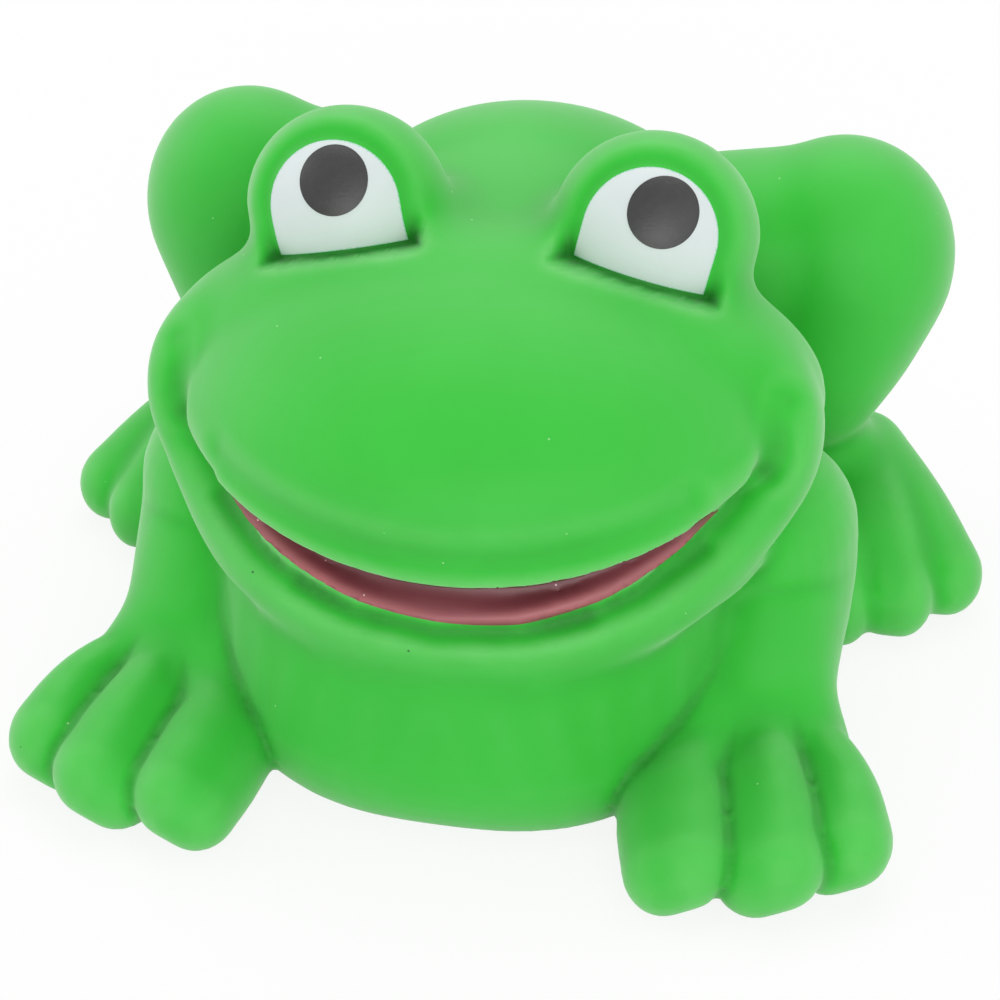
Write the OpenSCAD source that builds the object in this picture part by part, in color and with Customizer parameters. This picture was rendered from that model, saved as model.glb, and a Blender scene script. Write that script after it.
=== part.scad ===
// Frog stress toy: a palm-sized crouching frog of soft self-skinned foam,
// with sprayed eye whites and mouth and printed pupils.
// Millimetres. +Z is up, the face looks along -Y, the frog's left is +X,
// and the origin is on the table, under the middle of the toy.

/* [Torso] */
// Half width of the belly at its widest
belly_half_w = 21; // [18:0.5:23]
// How far the belly reaches forward of the origin
belly_front = 24.5; // [22:0.5:26]
// How far the rump reaches behind the origin
rump_back = 29.3; // [27:0.1:32]
// Height of the top of the back
back_top = 37.8; // [35:0.2:40]
// Thickness of the dense skin round the soft core
skin = 1.5; // [1:0.1:2.5]
// Diameter of the trimmed pouring gate under the belly
gate_d = 9; // [6:0.5:14]
// Gap drawn between the torso and the limbs that grow out of it
seam_gap = 0.05; // [0.02:0.01:0.1]

/* [Head] */
// Half width of the head across the cheeks
cheek_half_w = 24.7; // [23:0.1:27]
// Half length of the head
head_half_l = 14.2; // [13:0.1:15.5]
// Half height of the head
head_half_h = 11.3; // [10:0.1:12.5]
// Height of the middle of the head
head_z = 26.2; // [25:0.1:27.5]
// Distance of the middle of the head in front of the origin
head_y = 2.4; // [1.8:0.1:3.4]
// Running gap between the head and the body that it is pressed into
press_gap = 0.2; // [0.1:0.05:0.4]

/* [Muzzle and jaw] */
// Half width of the muzzle
muzzle_half_w = 21.6; // [20:0.2:23]
// Half length of the muzzle
muzzle_half_l = 17.6; // [17:0.1:19]
// Half height of the muzzle dome
muzzle_half_h = 12; // [11.4:0.1:12.6]
// Distance of the middle of the muzzle in front of the origin
muzzle_y = 5; // [4.6:0.1:6.5]
// Height of the widest line of the muzzle
muzzle_z = 25; // [24:0.25:26.5]
// Height of the lower edge of the upper lip at its middle
lip_z = 21.6; // [20.8:0.1:22.4]
// Half width of the lower jaw
jaw_half_w = 22; // [20:0.25:24]
// Half length of the lower jaw
jaw_half_l = 17.3; // [16:0.1:19]
// Half height of the lower jaw
jaw_half_h = 5.2; // [4.5:0.1:6.5]
// Distance of the middle of the lower jaw in front of the origin
jaw_y = 5.4; // [4.5:0.1:6.5]
// Height of the middle of the lower jaw
jaw_z = 17.2; // [16:0.1:18]
// Half width of the mouth
mouth_half_w = 17.4; // [14:0.2:19]
// Height of the mouth at its middle
mouth_gape = 3.1; // [1.5:0.1:3.6]
// How far the upper lip rises from its middle to the sides of the mouth
lip_rise = 1.9; // [0.5:0.1:2.5]
// How far the painted mouth lies behind the upper lip
mouth_recess = 0.9; // [0.5:0.1:1.5]

/* [Eyes] */
// Distance of each eye from the middle of the face
eye_x = 11.1; // [10:0.1:12.5]
// Distance of the middle of the eye mounds behind the origin
eye_y = 2; // [0.5:0.1:3.5]
// Height of the middle of the eye mounds
eye_z = 36.2; // [35:0.1:37.5]
// Half width of each eye mound
hood_half_w = 7.6; // [7:0.1:8.4]
// Half length of each eye mound
hood_half_l = 6.5; // [6:0.1:7.5]
// Half height of each eye mound
hood_half_h = 7.7; // [7.2:0.1:8.6]
// Width of the eye opening
opening_w = 9.5; // [8:0.1:10.5]
// Height of the eye opening
opening_h = 7.7; // [6.5:0.1:8.5]
// Height of the middle of the eye opening above the middle of the mound
opening_up = 1.45; // [0.8:0.05:1.8]
// How far the eye white lies below the hood
eye_recess = 0.8; // [0.4:0.1:1.5]
// Upward tilt of the eyes
eye_tilt = 22; // [15:1:30]
// Droop of the outer corner of the eyes
eye_droop = 12; // [0:1:20]
// Diameter of each pupil
pupil_d = 4.9; // [3.5:0.1:5.5]
// How far both pupils are printed off centre, towards the frog's left
print_shift = 0.5; // [0:0.1:1]
// Thickness of the sprayed and printed paint
paint = 0.4; // [0.3:0.05:0.6]

/* [Hind legs] */
// Distance of each knee from the middle of the back
knee_x = 24.2; // [22:0.1:25]
// Distance of the knees behind the origin
knee_y = 20.5; // [19:0.1:21.5]
// Height of the top of the knees
knee_top = 35.5; // [34:0.1:37.5]
// Half width of each knee
knee_r = 8.9; // [8:0.1:10.5]
// Half height of each knee
knee_half_h = 10.1; // [9:0.1:11]
// Half width of the lower end of each thigh
shin_r = 6.2; // [5.5:0.1:7]
// Radius of each ankle
ankle_r = 5; // [4.4:0.1:5.6]

/* [Forelegs] */
// Distance of each foreleg from the middle of the chest
foreleg_x = 21; // [19.5:0.25:22.5]
// Half width of each foreleg
foreleg_half_w = 7.2; // [6:0.1:8]
// Half depth of each foreleg from front to back
foreleg_half_d = 8.8; // [8:0.1:10.5]
// Half width of each wrist
wrist_r = 6.6; // [5.5:0.1:7.2]

/* [Toes] */
// Half width of each toe at its tip
toe_r = 3.7; // [3.2:0.1:4]
// Half height of each toe at its tip
toe_half_h = 3.3; // [2.8:0.1:3.7]
// Radius of each front toe at its root
fore_root_r = 4.4; // [3.6:0.1:5]
// Radius of each hind toe at its root
hind_root_r = 4.6; // [4:0.1:5.5]

/* [Hidden] */

left = 1;
right = -1;
smooth = 64;
limb_sides = 20;
// Depth by which a rounded form reaches below the table before it is cut flat
sole = 0.6;
// Longer than the whole toy
far = 120;

// Torso, from the table up: height as a share of the back's, then half width, front and back
// as shares of the belly's and the rump's
torso_stations = [[-0.04, 0.83, 0.853, 0.877], [0.026, 0.962, 0.967, 0.973], [0.111, 1, 1, 1],
                  [0.225, 0.99, 0.963, 0.997], [0.344, 0.971, 0.922, 0.997], [0.476, 0.9, 0.682, 0.993],
                  [0.608, 0.829, 0.392, 0.99], [0.741, 0.757, 0.25, 0.986], [0.873, 0.619, 0.04, 0.908],
                  [0.96, 0.376, -0.04, 0.765]];
torso_squareness = 2.3;
torso_sides = 20;
// Place of the highest point of the back, as a share of the rump's reach
crest = 0.546;
// Distance of the pouring gate behind the origin
gate_y = 4;

// Lower end of the thigh: steps sideways and forward from the knee, and height
shin_step = [-1.6, -1.8];
shin_z = 14.8;
thigh_end = [knee_x + shin_step[0], knee_y + shin_step[1], shin_z];
// How much narrower the thigh is from front to back, at the knee and at its lower end
knee_flat = 0.7;
shin_flat = 0.3;
// Middle of the ankle: step from the lower end of the thigh
ankle_step = [2.4, 0.3, -7.3];

// Shoulder and elbow of the foreleg: step sideways from the leg's middle, place and height
shoulder = [-0.3, -0.4, 13.6];
elbow = [0.1, -1.1, 9.9];
// Half heights of the shoulder and the elbow
shoulder_half_h = 6.7;
elbow_half_h = 8;
// Wrist: place from the middle of the leg, and how much flatter it is than wide
wrist = [0.4, -8.5, 6];
wrist_flat = 0.8;

// Toes of the left feet, from the inner toe out: root, middle, place of the tip,
// half width of the middle, and how much narrower the tip is than the widest toe
fore_toes = [[[20, -12, 5], [15.9, -20.2, 2.9], [17.5, -26.2], 4.2, 0.1],
             [[21.3, -11.2, 5], [22.4, -18.5, 3.5], [23.7, -24.9], 3.4, 0],
             [[22.6, -12.4, 4.8], [27, -17.8, 3.4], [28.9, -21.1], 3, 0]];
hind_toes = [[[26.2, 19.2, 4.5], [27.2, 11, 3.6], [26.9, 4.6], 3.5, 0.6],
             [[27.6, 20.6, 4.8], [29.6, 12.6, 4.2], [31.5, 6.6], 3.8, 0.5],
             [[27.4, 22.4, 4.3], [31.4, 16, 4.2], [35, 10.2], 4, 0]];

// Height of the pupils above the middle of the eye mounds
pupil_up = 2.5;

green = "#48c048";

function bow_radius(half_chord, sagitta) = (half_chord * half_chord + sagitta * sagitta) / (2 * sagitta);

// A closed form from rings of points, with a point at both ends
module loft(rings, first, last) {
  n = len(rings[0]);
  m = len(rings);
  points = concat([first], [for (ring = rings) each ring], [last]);
  end = len(points) - 1;
  faces = concat(
    [for (j = [0 : n - 1]) [0, 1 + j, 1 + (j + 1) % n]],
    [for (i = [0 : m - 2]) for (j = [0 : n - 1])
      let (a = 1 + i * n + j, b = 1 + i * n + (j + 1) % n)
      each [[a, a + n, b + n], [a, b + n, b]]],
    [for (j = [0 : n - 1]) [end, 1 + (m - 1) * n + (j + 1) % n, 1 + (m - 1) * n + j]]);
  polyhedron(points, faces);
}

// A limb, drawn tightly round ovals of which each is given by its middle and its half sizes
module limb(ovals) {
  hull() for (oval = ovals) translate(oval[0]) scale(oval[1]) sphere(1, $fn = limb_sides);
}

module ellipsoid(centre, half) {
  translate(centre) scale(half) sphere(1, $fn = smooth);
}

module on_table() {
  intersection() {
    children();
    translate([-far / 2, -far / 2, 0]) cube(far);
  }
}

module on_side(side) {
  if (side == right) mirror([1, 0, 0]) children();
  else children();
}

// Whole forms, before the larger ones are cut away

module torso_form(grow = 0) {
  function curve(v) = sign(v) * pow(abs(v), 2 / torso_squareness);
  function ring(s) = let (front = s[2] * belly_front + grow, back = s[3] * rump_back + grow)
    [for (j = [0 : torso_sides - 1]) let (a = 360 * j / torso_sides)
      [(s[1] * belly_half_w + grow) * curve(cos(a)),
       (back - front) / 2 + (back + front) / 2 * curve(sin(a)),
       s[0] * (back_top + grow)]];
  loft([for (s = torso_stations) ring(s)],
       [0, gate_y, torso_stations[0][0] * back_top - sole],
       [0, crest * rump_back, back_top + grow]);
}

module core_form() {
  translate([0, 0, skin]) on_table() translate([0, 0, -skin]) torso_form(-skin);
}

module gate_form() {
  translate([0, gate_y, 0]) cylinder(h = 2 * skin, d = gate_d, $fn = smooth);
}

module head_form(grow = 0) {
  ellipsoid([0, -head_y, head_z],
            [cheek_half_w + grow, head_half_l + grow, head_half_h + grow]);
}

module muzzle_ellipsoid(grow = 0) {
  ellipsoid([0, -muzzle_y, muzzle_z],
            [muzzle_half_w + grow, muzzle_half_l + grow, muzzle_half_h + grow]);
}

// A disc in the plane of the face, with its lowest point at a height in the middle of the face
module face_disc(low, rise) {
  r = bow_radius(mouth_half_w, rise);
  translate([0, low + r]) circle(r, $fn = 4 * smooth);
}

module muzzle_form() {
  intersection() {
    muzzle_ellipsoid();
    translate([0, far / 2, 0]) rotate([90, 0, 0]) linear_extrude(far) face_disc(lip_z, lip_rise);
  }
}

module jaw_form(grow = 0) {
  ellipsoid([0, -jaw_y, jaw_z],
            [jaw_half_w + grow, jaw_half_l + grow, jaw_half_h + grow]);
}

// The crescent of the mouth, below the lip, running back into the head
module mouth_crescent() {
  translate([0, -muzzle_y, 0]) rotate([90, 0, 0]) linear_extrude(far / 2) difference() {
    face_disc(lip_z - mouth_gape, mouth_gape + lip_rise);
    face_disc(lip_z, lip_rise);
  }
}

module eye_place(side) {
  on_side(side) translate([eye_x, eye_y, eye_z]) rotate([90 - eye_tilt, 0, 0]) rotate([0, 0, -eye_droop])
    children();
}

module hood_form(grow = 0) {
  ellipsoid([eye_x, eye_y, eye_z], [hood_half_w + grow, hood_half_l + grow, hood_half_h + grow]);
}

// The arch of the eye opening, flat along the bottom
module eye_opening() {
  r = opening_w / 2;
  translate([0, opening_up, 0]) linear_extrude(far / 2) {
    translate([0, opening_h / 2 - r]) circle(r, $fn = smooth);
    translate([-r, -opening_h / 2]) square([opening_w, opening_h - r]);
  }
}

module pupil_column(side) {
  translate([side * print_shift, pupil_up, 0]) cylinder(h = far / 2, d = pupil_d, $fn = smooth);
}

module thigh_form() {
  limb([[[knee_x, knee_y, knee_top - knee_half_h], [knee_r, knee_r - knee_flat, knee_half_h]],
        [thigh_end, [shin_r, shin_r - shin_flat, shin_r]]]);
}

module foreleg_form() {
  middle = [foreleg_x, 0, 0];
  limb([[middle + shoulder, [foreleg_half_w, foreleg_half_d, shoulder_half_h]],
        [middle + elbow, [foreleg_half_w, foreleg_half_d, elbow_half_h]],
        [middle + wrist, [wrist_r, wrist_r, wrist_r - wrist_flat]]]);
}

module toes_form(toes, root_r) {
  for (toe = toes) {
    tip_r = toe_r - toe[4];
    limb([[toe[0], [root_r, root_r, root_r]], [toe[1], [toe[3], toe[3], toe[3]]],
          [[toe[2][0], toe[2][1], toe_half_h - sole], [tip_r, tip_r, toe_half_h]]]);
  }
}

module forefoot_form() {
  toes_form(fore_toes, fore_root_r);
}

module hind_foot_form() {
  toes_form(hind_toes, hind_root_r);
  limb([[thigh_end + ankle_step, [ankle_r, ankle_r, ankle_r]]]);
}

// Pieces of the body, which rests on the table

module torso() {
  color(green) on_table() difference() {
    torso_form();
    core_form();
    gate_form();
  }
}

module foam_core() {
  color("#c9e3b4") {
    core_form();
    gate_form();
  }
}

module thigh(side) {
  color("#36b338") on_side(side) on_table() difference() {
    thigh_form();
    torso_form(seam_gap);
  }
}

module hind_foot(side) {
  color("#3cb63d") on_side(side) on_table() difference() {
    hind_foot_form();
    thigh_form();
    torso_form(seam_gap);
    foreleg_form();
  }
}

module foreleg(side) {
  color("#40b840") on_side(side) on_table() difference() {
    foreleg_form();
    torso_form(seam_gap);
    head_form(press_gap);
    jaw_form(press_gap);
  }
}

module forefoot(side) {
  color("#4cc04c") on_side(side) on_table() difference() {
    forefoot_form();
    foreleg_form();
    torso_form(seam_gap);
  }
}

// Pieces of the head, which a palm presses down into the body

module head() {
  color(green) difference() {
    head_form();
    torso_form(press_gap);
    mouth_cut();
  }
}

module muzzle() {
  color("#51c24f") difference() {
    muzzle_form();
    head_form();
    torso_form(press_gap);
  }
}

module jaw() {
  color(green) difference() {
    union() {
      jaw_form();
      muzzle_ellipsoid(-mouth_recess);
    }
    head_form();
    muzzle_form();
    torso_form(press_gap);
    mouth_cut();
  }
}

// What the mouth takes out of the lip and the jaw
module mouth_cut() {
  difference() {
    mouth_crescent();
    muzzle_ellipsoid(-mouth_recess - paint);
  }
}

module mouth_paint() {
  color("#7a3f42") intersection() {
    mouth_cut();
    muzzle_ellipsoid(-mouth_recess);
  }
}

module eye_hood(side) {
  color("#5ac85a") difference() {
    on_side(side) hood_form();
    head_form();
    muzzle_form();
    torso_form(press_gap);
    difference() {
      eye_place(side) eye_opening();
      on_side(side) hood_form(-eye_recess - paint);
    }
  }
}

module eye_white(side) {
  color("#d0dbd5") difference() {
    intersection() {
      on_side(side) hood_form(-eye_recess);
      eye_place(side) eye_opening();
    }
    on_side(side) hood_form(-eye_recess - paint);
    head_form();
    muzzle_form();
  }
}

module pupil(side) {
  color("#333433") difference() {
    intersection() {
      on_side(side) hood_form(paint - eye_recess);
      eye_place(side) pupil_column(side);
    }
    on_side(side) hood_form(-eye_recess);
  }
}

torso();
foam_core();
head();
muzzle();
jaw();
mouth_paint();
eye_hood(left);  // eye_hood_left
eye_hood(right);  // eye_hood_right
eye_white(left);  // eye_white_left
eye_white(right);  // eye_white_right
pupil(left);  // pupil_left
pupil(right);  // pupil_right
thigh(left);  // thigh_left
thigh(right);  // thigh_right
hind_foot(left);  // hind_foot_left
hind_foot(right);  // hind_foot_right
foreleg(left);  // foreleg_left
foreleg(right);  // foreleg_right
forefoot(left);  // forefoot_left
forefoot(right);  // forefoot_right
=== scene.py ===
import math

import bpy
import numpy as np
from mathutils import Matrix, Vector
from mathutils.bvhtree import BVHTree


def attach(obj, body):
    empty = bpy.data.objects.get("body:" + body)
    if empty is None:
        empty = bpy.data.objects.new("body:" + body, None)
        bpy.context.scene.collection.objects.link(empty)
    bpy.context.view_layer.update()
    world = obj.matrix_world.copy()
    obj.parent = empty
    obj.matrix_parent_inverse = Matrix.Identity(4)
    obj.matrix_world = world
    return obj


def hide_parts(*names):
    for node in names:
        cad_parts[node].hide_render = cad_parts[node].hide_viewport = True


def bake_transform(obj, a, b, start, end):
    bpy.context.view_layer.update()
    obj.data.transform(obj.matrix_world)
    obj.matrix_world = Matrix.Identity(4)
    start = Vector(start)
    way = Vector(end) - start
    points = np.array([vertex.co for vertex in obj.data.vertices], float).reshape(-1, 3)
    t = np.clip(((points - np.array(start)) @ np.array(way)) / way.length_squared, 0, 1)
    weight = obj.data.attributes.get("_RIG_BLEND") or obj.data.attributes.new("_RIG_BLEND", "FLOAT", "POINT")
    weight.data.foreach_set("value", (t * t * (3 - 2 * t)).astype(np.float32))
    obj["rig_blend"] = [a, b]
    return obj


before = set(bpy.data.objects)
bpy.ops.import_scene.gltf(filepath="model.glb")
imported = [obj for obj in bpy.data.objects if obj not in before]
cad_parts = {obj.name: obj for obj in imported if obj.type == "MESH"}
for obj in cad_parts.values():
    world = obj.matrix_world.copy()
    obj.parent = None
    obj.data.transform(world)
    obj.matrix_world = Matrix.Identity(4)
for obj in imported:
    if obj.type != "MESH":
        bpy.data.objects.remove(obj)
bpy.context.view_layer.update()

# Torso. The frog is one moulding of soft polyurethane foam, and its mould is cut from a clay model, so
# its outside is built up here as that clay is, in millimetres, with the face along -Y and the frog's
# left at +X. The torso is an egg of clay on a rounded rim, with a full chest and its crest at the back.
MM = 0.001
belly_y = 2.4
belly = ((0, belly_y, 12), (20.6, 25.2, 8))
chest = ((0, -5, 13.5), (19.5, 17.8, 5))
crest = ((0, 16, 26.4), (16, 13, 11.4))
nape = [((0, -2.2, 26.2), (15, 9, 10.9)), ((0, 14, 26.4), (14.5, 11, 11.2))]
rim_r, rim_z, rim_half, rim_count = 6, 4, (15, 20.9), 150
front_squareness, back_squareness = 2.9, 2.5
forms = {}


def pressed_together(pieces):
    """Joins pieces of clay into the first of them."""
    bpy.ops.object.select_all(action="DESELECT")
    for piece in pieces:
        piece.select_set(True)
    bpy.context.view_layer.objects.active = pieces[0]
    if len(pieces) > 1:
        bpy.ops.object.join()
    return pieces[0]


def swell(centre, half, segments=48):
    """An egg of clay at its place, with its half sizes."""
    bpy.ops.object.select_all(action="DESELECT")
    bpy.ops.mesh.primitive_uv_sphere_add(segments=segments, ring_count=segments // 2, radius=MM,
                                         location=Vector(centre) * MM, scale=half)
    bpy.ops.object.transform_apply(location=True, rotation=True, scale=True)
    return bpy.context.object


def wrapped(swells):
    """The tightest clay that holds all the swells."""
    form = pressed_together([swell(centre, half, segments=32) for centre, half in swells])
    bpy.ops.object.mode_set(mode="EDIT")
    bpy.ops.mesh.select_all(action="SELECT")
    bpy.ops.mesh.convex_hull()
    bpy.ops.object.mode_set(mode="OBJECT")
    return form


def torso_swells(thinner):
    """The swells of the torso, all smaller by the thickness of a skin."""
    swells = []
    for turn in range(rim_count):
        a = math.tau * turn / rim_count
        power = 2 / (back_squareness if a < math.pi else front_squareness)
        squared = [math.copysign(abs(v) ** power, v) for v in (math.cos(a), math.sin(a))]
        place = (rim_half[0] * squared[0], belly_y + rim_half[1] * squared[1], rim_z)
        swells.append((place, (rim_r - thinner,) * 3))
    for place, half in (belly, chest, crest):
        swells.append((place, [h - thinner for h in half]))
    return swells


forms["torso"] = wrapped(torso_swells(0))
forms["nape"] = wrapped(nape)

# Head: a wide egg of clay for the cheeks, and the dome of the muzzle on it, cut off along the upper
# lip. The lip rises to both corners of the mouth, and a little more on the frog's left.
head_at, head_half = (0, -2.2, 26.2), (24.5, 12.8, 11.3)
muzzle_at, muzzle_half = (0, -5, 25), (22, 17.6, 12)
lip_z, lip_rise, lip_fade_z = 21.6, 1.9, 28
mouth_half_w = 17.4
crooked = 0.8


def lip_lift(x):
    """How far the edge of the upper lip rises towards the corners of the mouth."""
    return (lip_rise + np.where(x > 0, crooked, 0)) * (x / mouth_half_w) ** 2


def points_of(piece):
    """A mesh's points in millimetres, as rows."""
    flat = np.empty(3 * len(piece.data.vertices))
    piece.data.vertices.foreach_get("co", flat)
    return flat.reshape(-1, 3) / MM


def put_points(piece, points):
    """Moves a mesh's points to rows in millimetres."""
    piece.data.vertices.foreach_set("co", (points * MM).astype(np.float32).ravel())
    piece.data.update()


forms["head"] = swell(head_at, head_half, segments=96)
forms["muzzle"] = swell(muzzle_at, muzzle_half, segments=128)
bpy.ops.object.mode_set(mode="EDIT")
bpy.ops.mesh.select_all(action="SELECT")
bpy.ops.mesh.bisect(plane_co=(0, 0, lip_z * MM), plane_no=(0, 0, 1), use_fill=True, clear_inner=True)
bpy.ops.mesh.select_all(action="SELECT")
bpy.ops.mesh.quads_convert_to_tris()
bpy.ops.object.mode_set(mode="OBJECT")
points = points_of(forms["muzzle"])
fade = np.clip((lip_fade_z - points[:, 2]) / (lip_fade_z - lip_z), 0, 1)
points[:, 2] += lip_lift(points[:, 0]) * fade
put_points(forms["muzzle"], points)

# Mouth: clay for the jaw, the wall behind the lips, the roll of the lower lip, and the rim of the jaw,
# which runs up into the cheeks. The recess between the lips is painted after moulding.
SIDES = (1, -1)
jaw_at, jaw_half = (0, -5.4, 17.2), (22, 17.3, 5.2)
mouth_low = 18.5
mouth_rise = lip_z - mouth_low + lip_rise
lip_cut = math.sqrt(1 - ((muzzle_at[2] - lip_z) / muzzle_half[2]) ** 2)
lip_half = (muzzle_half[0] * lip_cut, muzzle_half[1] * lip_cut)
wall_inset, wall_z, wall_h = (1, 1.8), 20.5, 8
wall_half = (lip_half[0] - wall_inset[0], lip_half[1] - wall_inset[1])
roll_xs = (0, 4, 8, 12, 15, 17.5, 19)
roll_r, roll_drop, roll_inset, roll_end = 1.1, 0.5, 0.6, 21
jaw_rim = [(0, -20.5, 15.3, 2.4, 2.5, 3.2), (4.6, -20.1, 15.4, 2.4, 2.5, 3.2),
           (8.6, -19, 16, 2.4, 2.5, 3.2), (14, -16.1, 17.2, 2.4, 2.5, 3.1),
           (17.5, -12.7, 18.6, 2.4, 2.5, 2.8), (20.4, -8.9, 21.2, 2.4, 2.8, 2.7),
           (22.3, -6, 25, 2.4, 4.2, 3.1), (21.4, -5, 28.4, 2.5, 4, 3), (18.6, -1.6, 30.6, 2.6, 3, 2.4)]


def mouth_edge(x):
    """Height of the lower edge of the mouth at a distance from the middle."""
    return mouth_low + mouth_rise * (x / mouth_half_w) ** 2


def limb(stations, side, steps, spread, tilt):
    """A limb drawn smoothly through stations, each a row of a swell's place and half sizes.

    A spread makes it flatter on top, and a tilt raises its outer side.
    """
    rows = np.array(stations, float)
    rows[:, 0] *= side
    ends = np.vstack([2 * rows[0] - rows[1], rows, 2 * rows[-1] - rows[-2]])
    drawn = []
    for before, start, stop, after in zip(ends, ends[1:], ends[2:], ends[3:]):
        for step in range(steps):
            t = step / steps
            bend = 2 * before - 5 * start + 4 * stop - after
            twist = 3 * (start - stop) + after - before
            drawn.append(start + t / 2 * (stop - before + t * (bend + t * twist)))
    drawn.append(rows[-1])
    aside = np.array([side * spread, 0, tilt])
    slimmer = np.array([spread, 0, 0])
    pairs = []
    for row in drawn:
        half = row[3:] - slimmer
        pairs.append([(row[:3] - aside, half), (row[:3] + aside, half)])
    return pressed_together([wrapped(start + stop) for start, stop in zip(pairs, pairs[1:])])


def limb_pair(stations, steps=4, spread=0, tilt=0):
    """The same limb on both sides of the frog."""
    return pressed_together([limb(stations, side, steps, spread, tilt) for side in SIDES])


forms["jaw"] = swell(jaw_at, jaw_half, segments=96)
bpy.ops.object.select_all(action="DESELECT")
bpy.ops.mesh.primitive_cylinder_add(vertices=128, radius=MM, depth=MM, scale=(*wall_half, wall_h),
                                    location=Vector((0, muzzle_at[1], wall_z)) * MM)
bpy.ops.object.transform_apply(location=True, rotation=True, scale=True)
forms["wall"] = bpy.context.object
roll_reach = 1 - roll_inset / lip_half[1]
roll = []
for x in roll_xs:
    y = muzzle_at[1] - lip_half[1] * roll_reach * math.sqrt(1 - (x / lip_half[0]) ** 2)
    thick = roll_r * (1 - (x / roll_end) ** 2)
    roll.append((x * roll_reach, y, mouth_edge(x) - roll_drop, thick, thick, thick))
forms["roll"] = limb_pair(roll, steps=3)
forms["rim"] = limb_pair(jaw_rim)

# Eye mounds: two eggs of clay on top of the head. An opening is pressed into the front of each when
# the forms are merged, so that a hood of foam stands over the eye.
eye_at, hood_half = (11.1, 2, 36.2), (7.6, 6.5, 7.7)


def egg_pair(at, half, segments=48):
    """The same egg on both sides of the frog."""
    return pressed_together([swell((side * at[0], *at[1:]), half, segments) for side in SIDES])


forms["hoods"] = egg_pair(eye_at, hood_half, segments=64)

# Hind legs: clay for a drawn-up thigh and the haunch that runs from it into the back, over an ankle
# and a long foot of three toes.
thigh = [(24.4, 20.5, 25.5, 9.1, 8.3, 10.3), (23.5, 19.7, 20, 7.9, 7.4, 8.4),
         (22.6, 18.7, 14.8, 6.2, 5.9, 6.1)]
haunch = [((22, 20.5, 26), (7.5, 7.5, 8.7)), ((14, 19.5, 26), (8, 9, 7.2)),
          ((17, 20, 16.5), (6.5, 7, 6.5))]
ankle_at, ankle_half = (24.8, 19, 7), (5, 5, 5.2)
hind_toes = [[(27.3, 20, 4.6, 4.6, 4.6, 4.6), (27.2, 11, 3.8, 3.6, 3.6, 3.8),
              (26.9, 4.6, 2.6, 3.1, 3.2, 3.2)],
             [(27.4, 21, 4.8, 4.8, 4.8, 4.8), (29.6, 12.8, 4.2, 3.9, 3.8, 4.2),
              (31.5, 6.6, 2.7, 3.3, 3.3, 3.3)],
             [(27.5, 22, 4.7, 4.7, 4.7, 4.7), (31.7, 15.6, 3.9, 4.2, 4, 4.1),
              (35, 10.2, 2.7, 3.7, 3.5, 3.3)]]


def wrapped_pair(swells):
    """The same swells, wrapped, on both sides of the frog."""
    both = [[((side * at[0], *at[1:]), half) for at, half in swells] for side in SIDES]
    return pressed_together([wrapped(one_side) for one_side in both])


forms["thighs"] = limb_pair(thigh)
forms["haunches"] = wrapped_pair(haunch)
forms["ankles"] = egg_pair(ankle_at, ankle_half)

# Forelegs: clay for an upright leg under each cheek, and a palm that spreads into a broad foot of
# three toes. All the toes are drawn flatter on top, and the fore ones higher on their outer side.
foreleg = [(20.7, -0.4, 13.6, 7.3, 8.5, 6.7), (21.1, -1.1, 9.9, 7.1, 8.9, 8), (21.2, -8.5, 6, 6.4, 6.2, 5.8)]
palm = [((16.9, -15.8, 3.5), (4.2, 4.4, 3.8)), ((25.2, -13.4, 3.4), (3.9, 3.8, 3.5)),
        ((21.2, -8.5, 5.5), (6, 5.6, 5.6))]
fore_toes = [[(19.4, -12.5, 3.6, 3, 3, 3), (16.8, -18.5, 3.2, 3.7, 3.2, 3.5),
              (17, -22.3, 3, 4, 3.6, 3.4), (17.7, -26.2, 2.7, 3.8, 3.5, 3.3)],
             [(21.6, -11.5, 3.6, 3, 3, 3), (22.5, -17.5, 3.4, 3.3, 3, 3.6),
              (23.4, -21.6, 3.1, 3.8, 3.3, 3.4), (24, -25.1, 2.7, 4, 3.6, 3.3)],
             [(23.6, -11.8, 3.4, 3, 3, 3), (27, -16.2, 3.2, 2.9, 2.7, 3.3),
              (28.2, -18.9, 3, 3.3, 2.9, 3.3), (28.8, -22.2, 2.7, 3.7, 3.5, 3.2)]]
toe_spread, hind_toe_tilt, fore_toe_tilt = 0.8, 0, 0.5
forms["forelegs"] = limb_pair(foreleg)
forms["palms"] = wrapped_pair(palm)
for foot, toes, toe_tilt in (("hind", hind_toes, hind_toe_tilt), ("fore", fore_toes, fore_toe_tilt)):
    for number, toe in enumerate(toes):
        forms[f"{foot}_toe_{number}"] = limb_pair(toe, spread=toe_spread, tilt=toe_tilt)

# Foam skin: the outside of the moulding, dense green polyurethane foam that skins over in the mould.
# The forms are merged into one closed surface, softened where they meet as clay is with a wet finger,
# creased, and flat below.
voxel, widest_seam = 0.4, 8
seam_firmness, seam_fade_z, least_weight = 1.25, 4, 0.01
bpy.context.view_layer.update()
depsgraph = bpy.context.evaluated_depsgraph_get()
trees = {name: BVHTree.FromObject(form, depsgraph) for name, form in forms.items()}
skin = pressed_together(list(forms.values()))
skin.name = skin.data.name = "foam_skin"


def finished_with(piece, kind, **settings):
    """Adds one modifier to a piece and applies it."""
    bpy.ops.object.select_all(action="DESELECT")
    piece.select_set(True)
    bpy.context.view_layer.objects.active = piece
    modifier = piece.modifiers.new(kind.lower(), kind)
    for name, value in settings.items():
        setattr(modifier, name, value)
    bpy.ops.object.modifier_apply(modifier=modifier.name)


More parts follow.
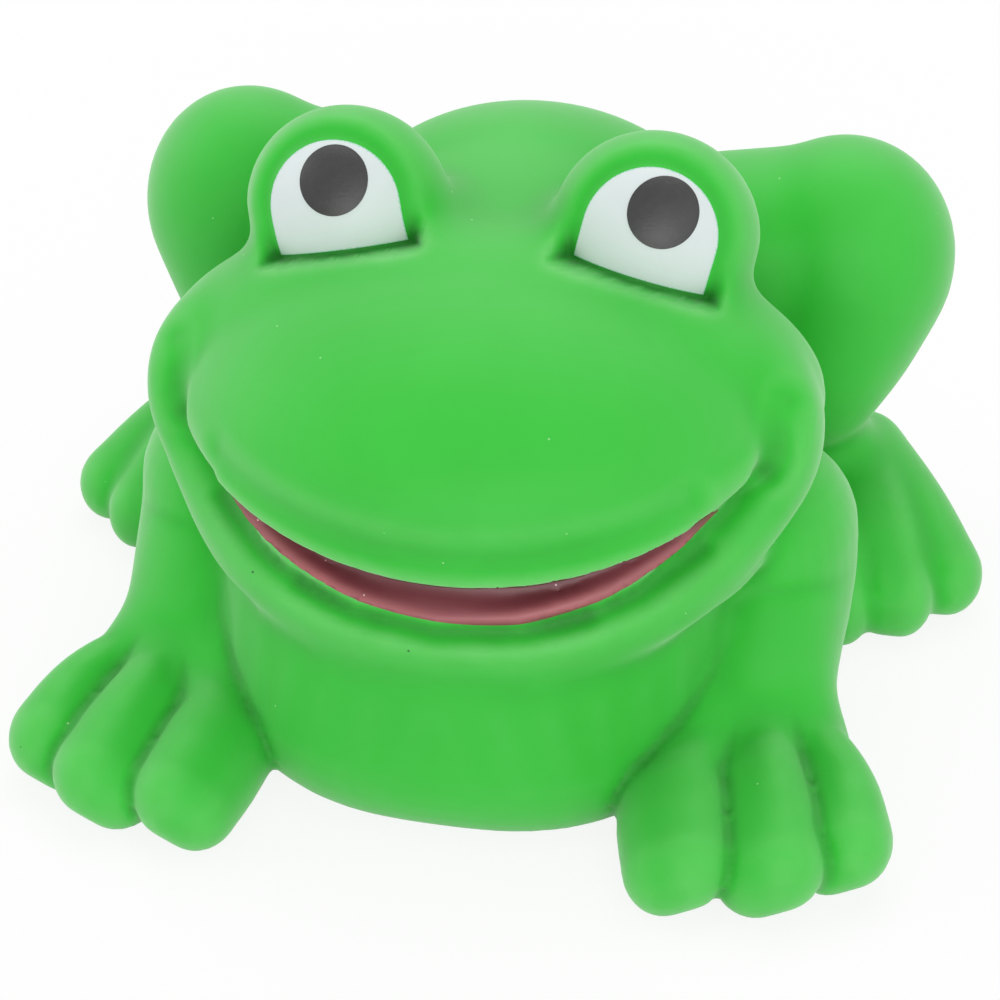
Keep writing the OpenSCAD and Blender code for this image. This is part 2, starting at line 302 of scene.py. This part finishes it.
def smoothed(piece, passes, weight=None):
    """Smooths a piece, by a weight from 0 to 1 for each point where weights are given."""
    settings = {"factor": 0.5, "iterations": passes}
    if weight is not None:
        group = piece.vertex_groups.new(name="weight")
        for index in np.flatnonzero(weight):
            group.add([int(index)], float(weight[index]), "REPLACE")
        settings["vertex_group"] = group.name
    finished_with(piece, "SMOOTH", **settings)
    piece.vertex_groups.clear()


def normals_of(piece):
    """The directions in which a mesh's points face, as rows."""
    flat = np.empty(3 * len(piece.data.vertices))
    piece.data.vertices.foreach_get("normal", flat)
    return flat.reshape(-1, 3)


def eased(share):
    """Goes smoothly from 0 to 1 as the share does."""
    share = np.clip(share, 0, 1)
    return share * share * (3 - 2 * share)


finished_with(skin, "REMESH", mode="VOXEL", voxel_size=voxel * MM)
points = points_of(skin)


def distances(tree):
    """Distance of each point of the skin from a form, up to the widest seam."""
    found = [tree.find_nearest(Vector(point) * MM, widest_seam * MM)[3] for point in points]
    return np.array([widest_seam if away is None else away / MM for away in found])


apart = {name: distances(tree) for name, tree in trees.items()}

# The eye openings stay crisp: an arch on a level sill, looking up by the tilt, with drooping corners
eye_tilt, eye_droop = math.radians(22), math.radians(12)
opening_r, opening_top, sill = 4.75, 5.3, -2.4


def eye_place(points):
    """Places across, up and out of the nearer eye's opening, for rows of points."""
    x = np.abs(points[:, 0]) - eye_at[0]
    y = points[:, 1] - eye_at[1]
    z = points[:, 2] - eye_at[2]
    up = y * math.sin(eye_tilt) + z * math.cos(eye_tilt)
    out = z * math.sin(eye_tilt) - y * math.cos(eye_tilt)
    across = x * math.cos(eye_droop) - up * math.sin(eye_droop)
    return across, x * math.sin(eye_droop) + up * math.cos(eye_droop), out


def past_arch(across, up):
    """Distance outside the sides and the top of the eye's arch, less than 0 inside."""
    above = np.maximum(up - (opening_top - opening_r), 0)
    return np.hypot(across, above) - opening_r


def in_opening(points, lip=1.7, gap=0.25, step=0.5):
    """1 inside an eye opening, falling to 0 over its rounded lip and its sharp sill."""
    across, up, out = eye_place(points)
    inside = eased(1 - past_arch(across, up) / lip) * eased(1 - (sill - gap - up) / step)
    return np.where(out > 0, inside, 0)


def along_seams(seams):
    """1 where two forms meet, falling to 0 beside it. A seam names the forms and how far it reaches."""
    weight = np.zeros(len(points))
    for one, other, reach in seams:
        for a in [name for name in apart if name.startswith(one)]:
            for b in [name for name in apart if name.startswith(other) and name != a]:
                near = np.maximum(apart[a], apart[b])
                weight = np.maximum(weight, eased(seam_firmness * (1 - near / reach)))
    return weight


def softened(piece, seams, passes, above=-10):
    """Smooths a piece along seams, from a height up."""
    places = points_of(piece)
    risen = eased((places[:, 2] - above) / seam_fade_z)
    weight = along_seams(seams) * (1 - in_opening(places)) * risen
    smoothed(piece, passes, np.where(weight > least_weight, weight, 0))


# Broad hollows between the large forms
softened(skin, [("head", "torso", 7), ("head", "nape", 7), ("nape", "torso", 7), ("hoods", "nape", 6),
                ("hoods", "torso", 6), ("thighs", "torso", 4), ("haunches", "torso", 6),
                ("haunches", "thighs", 6), ("rim", "torso", 3), ("jaw", "torso", 3), ("head", "hoods", 4),
                ("palms", "forelegs", 3), ("ankles", "thighs", 2), ("ankles", "hind_toe", 2)], passes=60)
softened(skin, [("head", "muzzle", 4), ("head", "rim", 4), ("muzzle", "hoods", 4)], passes=60, above=28)

# Narrow seams of the cheeks, the toes and the armpits
softened(skin, [("head", "rim", 2.5), ("fore_toe", "palms", 0.9), ("fore_toe", "forelegs", 1.5),
                ("hind_toe", "hind_toe", 1.2), ("hind_toe", "thighs", 1.5)], passes=25)
softened(skin, [("forelegs", "torso", 3)], passes=25, above=9)

# Tight folds below the head and round the mouth, which is softer at its corners
softened(skin, [("fore_toe", "torso", 0.6), ("palms", "torso", 0.6), ("forelegs", "torso", 0.6),
                ("forelegs", "head", 1.2), ("forelegs", "rim", 1), ("rim", "muzzle", 0.8),
                ("head", "muzzle", 1), ("muzzle", "wall", 0.6), ("jaw", "wall", 0.6),
                ("muzzle", "jaw", 0.6)], passes=6)
softened(skin, [("muzzle", "rim", 1.8), ("muzzle", "wall", 1.2), ("muzzle", "roll", 1)], passes=45,
         above=22.3)
softened(skin, [("fore_toe", "fore_toe", 0.8), ("roll", "rim", 0.6), ("roll", "jaw", 0.6),
                ("roll", "wall", 0.5)], passes=8)
smoothed(skin, passes=4)
points = points_of(skin)


def away_from(path, points):
    """Distance of each point from a path on the frog's left, with both sides folded onto it."""
    folded = np.column_stack([np.abs(points[:, 0]), points[:, 1:]])
    nearest = np.full(len(points), np.inf)
    for start, stop in zip(np.array(path, float), np.array(path[1:], float)):
        along = stop - start
        share = np.clip((folded - start) @ along / (along @ along), 0, 1)
        nearest = np.minimum(nearest, np.linalg.norm(folded - start - share[:, None] * along, axis=1))
    return nearest


def drawn_in(path, reach, depth):
    """Presses a groove into the clay along a path, or raises a ridge where the depth is less than 0."""
    put_points(skin, points)
    return points - normals_of(skin) * (depth * eased(1 - away_from(path, points) / reach))[:, None]


# Creases between the toes and where the belly rests on the feet
fold_depth, fold_top = 0.2, 12
folds = along_seams([("fore_toe", "fore_toe", 1), ("fore_toe", "torso", 0.8), ("palms", "torso", 0.8),
                     ("forelegs", "torso", 0.8)]) * eased((fold_top - points[:, 2]) / seam_fade_z)
points -= normals_of(skin) * fold_depth * folds[:, None]
put_points(skin, points)
softened(skin, [("fore_toe", "fore_toe", 1.2), ("fore_toe", "torso", 0.8), ("palms", "torso", 0.8)], passes=6)
points = points_of(skin)

# Dimples of the smile between the cheeks and the muzzle, and the corners of the mouth
dimple = [(22.3, -8, 30), (22, -9.5, 28), (21.4, -11, 26)]
corner = [(17.4, -14.8, 23.3), (19.2, -12.8, 24.1), (20.8, -10.2, 25.2)]
points = drawn_in(dimple, reach=2.4, depth=0.55)
points = drawn_in(corner, reach=1.5, depth=0.2)

# Crease below the lower lip, deeper in the middle, and the ridge of the jaw under it
crease = [(0, -22.6, 17.7), (6, -22, 18.1), (10.2, -20.3, 18.8), (13.6, -17.9, 19.6), (17.4, -14.2, 21.2)]
ridge = [(0, -23, 16.3), (4.6, -22.6, 16.4), (8.6, -21.5, 17), (14, -18.4, 18.2), (17.5, -14.9, 19.3),
         (20.4, -10.6, 21.5)]
points = drawn_in(crease[:3], reach=1.2, depth=0.5)
points = drawn_in(crease, reach=1.4, depth=0.4)
points = drawn_in(ridge, reach=2.4, depth=-0.25)

# Upper lip, which turns out at its edge
lip_xs = (0, 4, 8, 12, 15, 16.5)
lips_reach, lips_fade = 4, 2


def lip_line(above):
    """A path along the front of the muzzle, at a height above the edge of the lip."""
    path = []
    for x in lip_xs:
        z = lip_z + float(lip_lift(-x) + lip_lift(x)) / 2 + above
        level = 1 - ((z - muzzle_at[2]) / muzzle_half[2]) ** 2 - (x / muzzle_half[0]) ** 2
        path.append((x, muzzle_at[1] - muzzle_half[1] * math.sqrt(max(level, 0)), z))
    return path


points = drawn_in(lip_line(above=2.8), reach=2.2, depth=0.4)
points = drawn_in(lip_line(above=0.5), reach=1.2, depth=-0.35)
put_points(skin, points)
near_lips = np.minimum(away_from(crease, points), away_from(lip_line(above=0), points))
smoothed(skin, passes=3, weight=eased((lips_reach - near_lips) / lips_fade))
points = points_of(skin)

# Eye openings, pressed in below their hoods
eye_recess = 0.8
gaze = np.array([0, -math.cos(eye_tilt), math.sin(eye_tilt)])


def out_to_egg(points, at, half):
    """How far out along the eyes' gaze each point has to go to lie on the front of an egg."""
    way = gaze / half
    place = (np.column_stack([np.abs(points[:, 0]), points[:, 1:]]) - at) / half
    a, b, c = way @ way, place @ way, (place * place).sum(1) - 1
    return (-b + np.sqrt(np.maximum(b * b - a * c, 0))) / a


bed_half = np.array(hood_half) - eye_recess
pressed = in_opening(points) * np.minimum(out_to_egg(points, eye_at, bed_half), 0)
points += pressed[:, None] * gaze

# Pouring gate, trimmed a little above the flat underside
gate_at, gate_r, gate_dip = (0, 4), 4.5, 0.3
from_gate = np.hypot(points[:, 0] - gate_at[0], points[:, 1] - gate_at[1])
points[:, 2] = np.maximum(points[:, 2], np.where(from_gate < gate_r, gate_dip, 0))
put_points(skin, points)
bpy.ops.object.shade_smooth()


def standing_out(piece, passes=24, most=0.25):
    """How far each point stands out of its surroundings, as a share of a height in mm, from -1 to 1."""
    level = piece.copy()
    level.data = piece.data.copy()
    bpy.context.scene.collection.objects.link(level)
    smoothed(level, passes)
    height = ((points_of(piece) - points_of(level)) * normals_of(piece)).sum(1)
    bpy.data.objects.remove(level)
    return np.clip(height / most, -1, 1)


# Painted highlight where the foam stands out and painted shade in its hollows, from how far it stands out
shade_and_highlight = skin.data.attributes.new("shade_and_highlight", "FLOAT", "POINT")
shade_and_highlight.data.foreach_set("value", standing_out(skin).astype(np.float32))

# Numbers of a Mix node's two colours and of its mixed colour
MIX_A, MIX_B, MIXED = 6, 7, 2


def linear(colour):
    """An sRGB hex colour as linear red, green, blue and alpha."""
    parts = [int(colour[i:i + 2], 16) / 255 for i in (1, 3, 5)]
    return (*[p / 12.92 if p <= 0.04045 else ((p + 0.055) / 1.055) ** 2.4 for p in parts], 1)


def per_mm(size):
    """The scale that gives a pattern cells of a size in millimetres."""
    return 1 / (size * MM)


def add_node(material, kind, links=None, values=None, **settings):
    """Adds a node with its settings, and links sockets into its inputs or sets their values."""
    node = material.node_tree.nodes.new(kind)
    for name, value in settings.items():
        setattr(node, name, value)
    for name, value in (values or {}).items():
        node.inputs[name].default_value = value
    for name, socket in (links or {}).items():
        material.node_tree.links.new(socket, node.inputs[name])
    return node


def new_material(name, **settings):
    """A material of one plastic-like shader, with its inputs set by name."""
    material = bpy.data.materials.new(name)
    material.use_nodes = True
    shader = material.node_tree.nodes["Principled BSDF"]
    for setting, value in settings.items():
        shader.inputs[setting.replace("_", " ").title()].default_value = value
    return material, shader


def mottled(material, places, size, one, other):
    """A colour that wanders between two in soft patches of a size in mm."""
    patches = add_node(material, "ShaderNodeTexNoise", {"Vector": places},
                       {"Scale": per_mm(size), "Detail": 4})
    mix = add_node(material, "ShaderNodeMix", {0: patches.outputs["Fac"]},
                   {MIX_A: linear(one), MIX_B: linear(other)}, data_type="RGBA")
    return mix.outputs[MIXED]


def painted_shade_and_highlight(material, ground, deep, pale, share):
    """Paints shade into a colour, deep in hollows, and by a share a pale highlight on what stands out."""
    height = add_node(material, "ShaderNodeAttribute", attribute_name="shade_and_highlight").outputs["Fac"]
    hollow = add_node(material, "ShaderNodeMapRange", {"Value": height}, {"From Min": 0, "From Max": -1})
    raised = add_node(material, "ShaderNodeMapRange", {"Value": height},
                      {"From Min": 0, "From Max": 1, "To Max": share})
    lower = add_node(material, "ShaderNodeMix", {0: hollow.outputs[0], MIX_A: ground},
                     {MIX_B: linear(deep)}, data_type="RGBA")
    upper = add_node(material, "ShaderNodeMix", {0: raised.outputs[0], MIX_A: lower.outputs[MIXED]},
                     {MIX_B: linear(pale)}, data_type="RGBA")
    return upper.outputs[MIXED]


def speckled(material, places, ground, size, cell, colour):
    """Lays rare small dots over a colour: the size of a dot and of the cell that holds one, in mm."""
    cells = add_node(material, "ShaderNodeTexVoronoi", {"Vector": places}, {"Scale": per_mm(cell)})
    dots = add_node(material, "ShaderNodeMath", {0: cells.outputs["Distance"]}, {1: size / 2 / cell},
                    operation="LESS_THAN")
    mix = add_node(material, "ShaderNodeMix", {0: dots.outputs[0], MIX_A: ground},
                   {MIX_B: linear(colour)}, data_type="RGBA")
    return mix.outputs[MIXED]


def surfaced(material, shader, places, colour, grain, height):
    """Gives a shader its colour, and the fine grain of a moulded or printed surface, in mm."""
    noise = add_node(material, "ShaderNodeTexNoise", {"Vector": places}, {"Scale": per_mm(grain)})
    bump = add_node(material, "ShaderNodeBump", {"Height": noise.outputs["Fac"]},
                    {"Strength": 1, "Distance": height * MM})
    material.node_tree.links.new(colour, shader.inputs["Base Color"])
    material.node_tree.links.new(bump.outputs["Normal"], shader.inputs["Normal"])


# Self-skinned foam: matt with a sheen, slightly mottled, with dust, pin holes, painted shade and highlight.
foam, foam_shader = new_material("green_polyurethane_foam", roughness=0.55, sheen_weight=0.35,
                                 sheen_roughness=0.5)
foam_shader.inputs["Specular IOR Level"].default_value = 0.35
foam_places = add_node(foam, "ShaderNodeTexCoord").outputs["Object"]
shade = mottled(foam, foam_places, size=8, one="#1fb225", other="#2cc031")
# Painted shade in the hollows and painted highlight where the foam stands out
shade = painted_shade_and_highlight(foam, shade, deep="#0f8217", pale="#86dd82", share=0.5)
shade = speckled(foam, foam_places, shade, size=0.16, cell=3.2, colour="#93d68d")
shade = speckled(foam, foam_places, shade, size=0.2, cell=7, colour="#1d6b24")
surfaced(foam, foam_shader, foam_places, shade, grain=0.3, height=0.006)
skin.data.materials.append(foam)

# The foam between these two points gives way when the head is squeezed down into the body
squeeze_from, squeeze_to = Vector((0, -7.25, 12.56)) * MM, Vector((0, -14.75, 25.55)) * MM
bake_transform(skin, "body", "head", start=squeeze_from, end=squeeze_to)
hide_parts("torso", "head", "muzzle", "jaw", "eye_hood_left", "eye_hood_right", "thigh_left",
            "thigh_right", "hind_foot_left", "hind_foot_right", "foreleg_left", "foreleg_right",
            "forefoot_left", "forefoot_right")

# Foam core: the soft inside of the moulding, pale open-celled polyurethane foam behind the dense skin.
# It is poured in through the gate under the belly, where its plug is trimmed off.
skin_thick = 1.7
plug_gap, plug_h, plug_z = 0.3, 3, 1.6
core = wrapped(torso_swells(skin_thick))
core_points = points_of(core)
core_points[:, 2] = np.maximum(core_points[:, 2], skin_thick)
put_points(core, core_points)
bpy.ops.object.select_all(action="DESELECT")
bpy.ops.mesh.primitive_cylinder_add(vertices=64, radius=(gate_r - plug_gap) * MM, depth=plug_h * MM,
                                    location=Vector((*gate_at, plug_z)) * MM)
bpy.ops.object.transform_apply(location=True, rotation=True, scale=True)
core = pressed_together([core, bpy.context.object])
core.name = core.data.name = "soft_core"

# Open foam: pale and dull, full of cells that are drawn coarser than real ones so that they show.
pale_foam, core_shader = new_material("pale_open_foam", roughness=0.8)
core_places = add_node(pale_foam, "ShaderNodeTexCoord").outputs["Object"]
cells = mottled(pale_foam, core_places, size=2, one="#b9d9a4", other="#d6ecc4")
cells = speckled(pale_foam, core_places, cells, size=0.3, cell=0.6, colour="#8fb97d")
surfaced(pale_foam, core_shader, core_places, cells, grain=0.5, height=0.05)
core.data.materials.append(pale_foam)
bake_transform(core, "body", "head", start=squeeze_from, end=squeeze_to)
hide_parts("foam_core")

# Mouth paint: maroon paint, sprayed through a mask into the recess between the lips.
maroon_film = 0.08
mask_y, mask_deep, mask_points = -7, 18, 63
right_tail, left_tail = 0.4, 0.8
right_droop, left_droop, droop_power = 1.3, 0.5, 5
overspray = 0.6
film_edge = math.radians(50)
mouth = skin.copy()
mouth.data = skin.data.copy()
mouth.name = mouth.data.name = "mouth_film"
for key in list(mouth.keys()):
    del mouth[key]
mouth.data.attributes.remove(mouth.data.attributes["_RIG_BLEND"])
bpy.context.scene.collection.objects.link(mouth)
put_points(mouth, points + normals_of(skin) * maroon_film)
mouth_end = mouth_half_w * math.sqrt((lip_z - maroon_film - mouth_low) / (mouth_rise - lip_rise))


def cut_to(piece, outline, placed, deep):
    """Keeps of a piece what lies within an outline that is drawn flat, placed and pushed through."""
    bpy.ops.object.select_all(action="DESELECT")
    bpy.ops.mesh.primitive_circle_add(vertices=len(outline), fill_type="NGON")
    cutter = bpy.context.object
    for vertex, place in zip(cutter.data.vertices, outline):
        vertex.co = (place[0] * MM, place[1] * MM, 0)
    bpy.ops.object.mode_set(mode="EDIT")
    bpy.ops.mesh.select_all(action="SELECT")
    bpy.ops.mesh.extrude_region_move(TRANSFORM_OT_translate={"value": (0, 0, deep * MM)})
    bpy.ops.mesh.select_all(action="SELECT")
    bpy.ops.mesh.normals_make_consistent(inside=False)
    bpy.ops.object.mode_set(mode="OBJECT")
    cutter.data.transform(placed)
    finished_with(piece, "BOOLEAN", operation="INTERSECT", solver="EXACT", object=cutter)
    bpy.data.objects.remove(cutter)


def paint_edge(x):
    """Height of the paint's lower edge, which droops to the corners and runs over a little on the left."""
    droop = right_droop if x < 0 else left_droop
    over = overspray * math.sin(math.pi * min(max(x / mouth_end, 0), 1))
    return mouth_edge(x) - over - droop * (abs(x) / mouth_end) ** droop_power


across = np.linspace(-mouth_end - right_tail, mouth_end + left_tail, mask_points)
lower = [(x, paint_edge(x)) for x in across]
upper = [(x, lip_z - maroon_film + float(lip_lift(x))) for x in across[-2:0:-1]]
facing = Matrix.Translation((0, mask_y * MM, 0)) @ Matrix.Rotation(math.radians(90), 4, "X")
cut_to(mouth, lower + upper, facing, mask_deep)

# Sprayed paint on foam: half matt, patchy, dusty, painted shade in the crease, painted highlight on the lip.
maroon, maroon_shader = new_material("sprayed_maroon_paint", roughness=0.42)
maroon_places = add_node(maroon, "ShaderNodeTexCoord").outputs["Object"]
dust_and_painted_light = mottled(maroon, maroon_places, size=1.5, one="#7c3d44", other="#8a494f")
# Painted shade in the crease and painted highlight on the lip, from how far the paint stands out
dust_and_painted_light = painted_shade_and_highlight(maroon, dust_and_painted_light, deep="#4c2224", pale="#b8686c", share=0.8)
dust_and_painted_light = speckled(maroon, maroon_places, dust_and_painted_light, size=0.14, cell=1.6, colour="#d9b8b8")
surfaced(maroon, maroon_shader, maroon_places, dust_and_painted_light, grain=0.25, height=0.008)
mouth.data.materials.clear()
mouth.data.materials.append(maroon)
bpy.ops.object.shade_smooth_by_angle(angle=film_edge)
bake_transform(mouth, "body", "head", start=squeeze_from, end=squeeze_to)
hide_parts("mouth_paint")

# Eye whites and pupils: white paint, sprayed through a mask into each eye opening, and black ink that
# a soft pad prints on it. Both are thin films on the bed of the opening.
white_film, ink_film = 0.06, 0.12
spray_grit, spray_edge, bare_below, covered_above = 0.1, 0.35, 0.45, 0.75
pupil_r, pupil_up, print_shift = 2.45, 2.5, 0.5
arch_points, disc_points, eye_segments, eye_mask_deep = 41, 64, 160, 12

# Sprayed paint: white and half matt, stippled at the mask's edge, where the green foam shows through.
white_paint, white_shader = new_material("sprayed_white_paint", roughness=0.5)
white_places = add_node(white_paint, "ShaderNodeTexCoord").outputs["Object"]
inset = add_node(white_paint, "ShaderNodeAttribute", attribute_name="inset")
spray = add_node(white_paint, "ShaderNodeTexNoise", {"Vector": white_places}, {"Scale": per_mm(spray_grit)})
cover = add_node(white_paint, "ShaderNodeMath", {0: spray.outputs["Fac"], 1: inset.outputs["Fac"]},
                 operation="ADD")
cover = add_node(white_paint, "ShaderNodeMapRange", {"Value": cover.outputs[0]},
                 {"From Min": bare_below, "From Max": covered_above})
coat = add_node(white_paint, "ShaderNodeMix", {0: cover.outputs[0]},
                {MIX_A: linear("#86cfae"), MIX_B: linear("#d7e0e0")}, data_type="RGBA")
surfaced(white_paint, white_shader, white_places, coat.outputs[MIXED], grain=0.25, height=0.01)

# Pad-printed ink: nearly black, a little shiny, with the fine grain of the pad.
black_ink, ink_shader = new_material("pad_printed_black_ink", roughness=0.38)
ink_places = add_node(black_ink, "ShaderNodeTexCoord").outputs["Object"]
ink = mottled(black_ink, ink_places, size=0.5, one="#232423", other="#323332")
surfaced(black_ink, ink_shader, ink_places, ink, grain=0.2, height=0.02)


def eye_layer(name, side, thick, outline, paint):
    """A film of paint in one eye opening, cut to an outline across and up the opening."""
    at = (side * eye_at[0], *eye_at[1:])
    placed = Matrix.Translation(Vector(at) * MM) @ Matrix.Rotation(math.pi / 2 - eye_tilt, 4, "X")
    placed = placed @ Matrix.Rotation(-side * eye_droop, 4, "Z")
    layer = swell(at, [h - eye_recess + thick for h in hood_half], eye_segments)
    layer.name = layer.data.name = name
    cut_to(layer, outline, placed, eye_mask_deep)
    layer.data.materials.append(paint)
    bpy.ops.object.shade_smooth_by_angle(angle=film_edge)
    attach(layer, "head")
    return layer


arch = [(-opening_r, sill), (opening_r, sill)]
for a in np.linspace(0, math.pi, arch_points):
    arch.append((opening_r * math.cos(a), opening_top - opening_r + opening_r * math.sin(a)))
disc = []
for a in np.linspace(0, math.tau, disc_points, endpoint=False):
    disc.append((pupil_r * math.cos(a) + print_shift, pupil_r * math.sin(a) + pupil_up))
for side, name in zip(SIDES, ("left", "right")):
    white = eye_layer(f"eye_paint_{name}", side, white_film, arch, white_paint)
    over, up = eye_place(points_of(white))[:2]
    from_edge = -np.maximum(past_arch(over, up), sill - up)
    covered = white.data.attributes.new("inset", "FLOAT", "POINT")
    covered.data.foreach_set("value", np.clip(from_edge / spray_edge, 0, 1).astype(np.float32))
    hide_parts(f"eye_white_{name}")
    pupil = eye_layer(f"pupil_print_{name}", side, ink_film, disc, black_ink)
    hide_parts(f"pupil_{name}")

# Studio: a white table in a white tent, with soft boxes on both sides, above the back, low in front
# and in front on the right. Each has a place and a size in metres, and a power in watts.
table_size, table_glow, ambient = 6, 0.87, 0.36
soft_boxes = [((-0.75, 0, 0.4), 0.6, 2), ((0.75, 0, 0.4), 0.6, 0.9), ((0, 0.35, 0.75), 0.9, 4.1),
              ((0.1, -0.8, 0.12), 0.5, 2.4), ((0.35, -0.55, 0.35), 0.6, 1.1)]
lit_point = Vector((0, 0, 0.02))
bpy.ops.object.select_all(action="DESELECT")
bpy.ops.mesh.primitive_plane_add(size=table_size)
floor = bpy.context.object
floor.name = "white_table"


def seen_white(holder):
    """1 for what the camera, gloss and glass see, 0 for plain light."""
    rays = add_node(holder, "ShaderNodeLightPath").outputs
    gloss = add_node(holder, "ShaderNodeMath", {0: rays["Is Glossy Ray"], 1: rays["Is Transmission Ray"]},
                     operation="MAXIMUM")
    seen = add_node(holder, "ShaderNodeMath", {0: rays["Is Camera Ray"], 1: gloss.outputs[0]},
                    operation="MAXIMUM")
    return seen.outputs[0]


# Matt white board: it takes the frog's soft shadow, and is white wherever the camera sees it unshaded.
table, table_shader = new_material("white_table", roughness=0.9)
table_shader.inputs["Base Color"].default_value = (0.9, 0.9, 0.9, 1)
glow = add_node(table, "ShaderNodeMath", {0: seen_white(table)}, {1: table_glow}, operation="MULTIPLY")
bright = add_node(table, "ShaderNodeEmission", values={"Strength": 1})
seen = add_node(table, "ShaderNodeMixShader",
                {0: glow.outputs[0], 1: table_shader.outputs[0], 2: bright.outputs[0]})
table.node_tree.links.new(seen.outputs[0], table.node_tree.nodes["Material Output"].inputs["Surface"])
floor.data.materials.append(table)

world = bpy.data.worlds.new("white_studio")
bpy.context.scene.world = world
world.use_nodes = True
tent = world.node_tree.nodes["Background"]
level = add_node(world, "ShaderNodeMapRange", {"Value": seen_white(world)}, {"To Min": ambient, "To Max": 1})
world.node_tree.links.new(level.outputs[0], tent.inputs["Strength"])
tent.inputs["Color"].default_value = linear("#ffffff")

for place, size, power in soft_boxes:
    bpy.ops.object.light_add(type="AREA", location=place)
    light = bpy.context.object
    light.data.size = size
    light.data.energy = power
    light.rotation_euler = (lit_point - light.location).to_track_quat("-Z", "Y").to_euler()

camera_data = bpy.data.cameras.new("camera")
camera = bpy.data.objects.new("camera", camera_data)
bpy.context.scene.collection.objects.link(camera)
camera.location = (0.02433, -0.12814, 0.10863)
camera.rotation_euler = (math.radians(53.7), 0, math.radians(10.6))
camera_data.lens = 74.7
camera_data.sensor_width = 36
camera_data.clip_start = 0.01
bpy.context.scene.camera = camera
bpy.context.scene.view_settings.view_transform = "Standard"
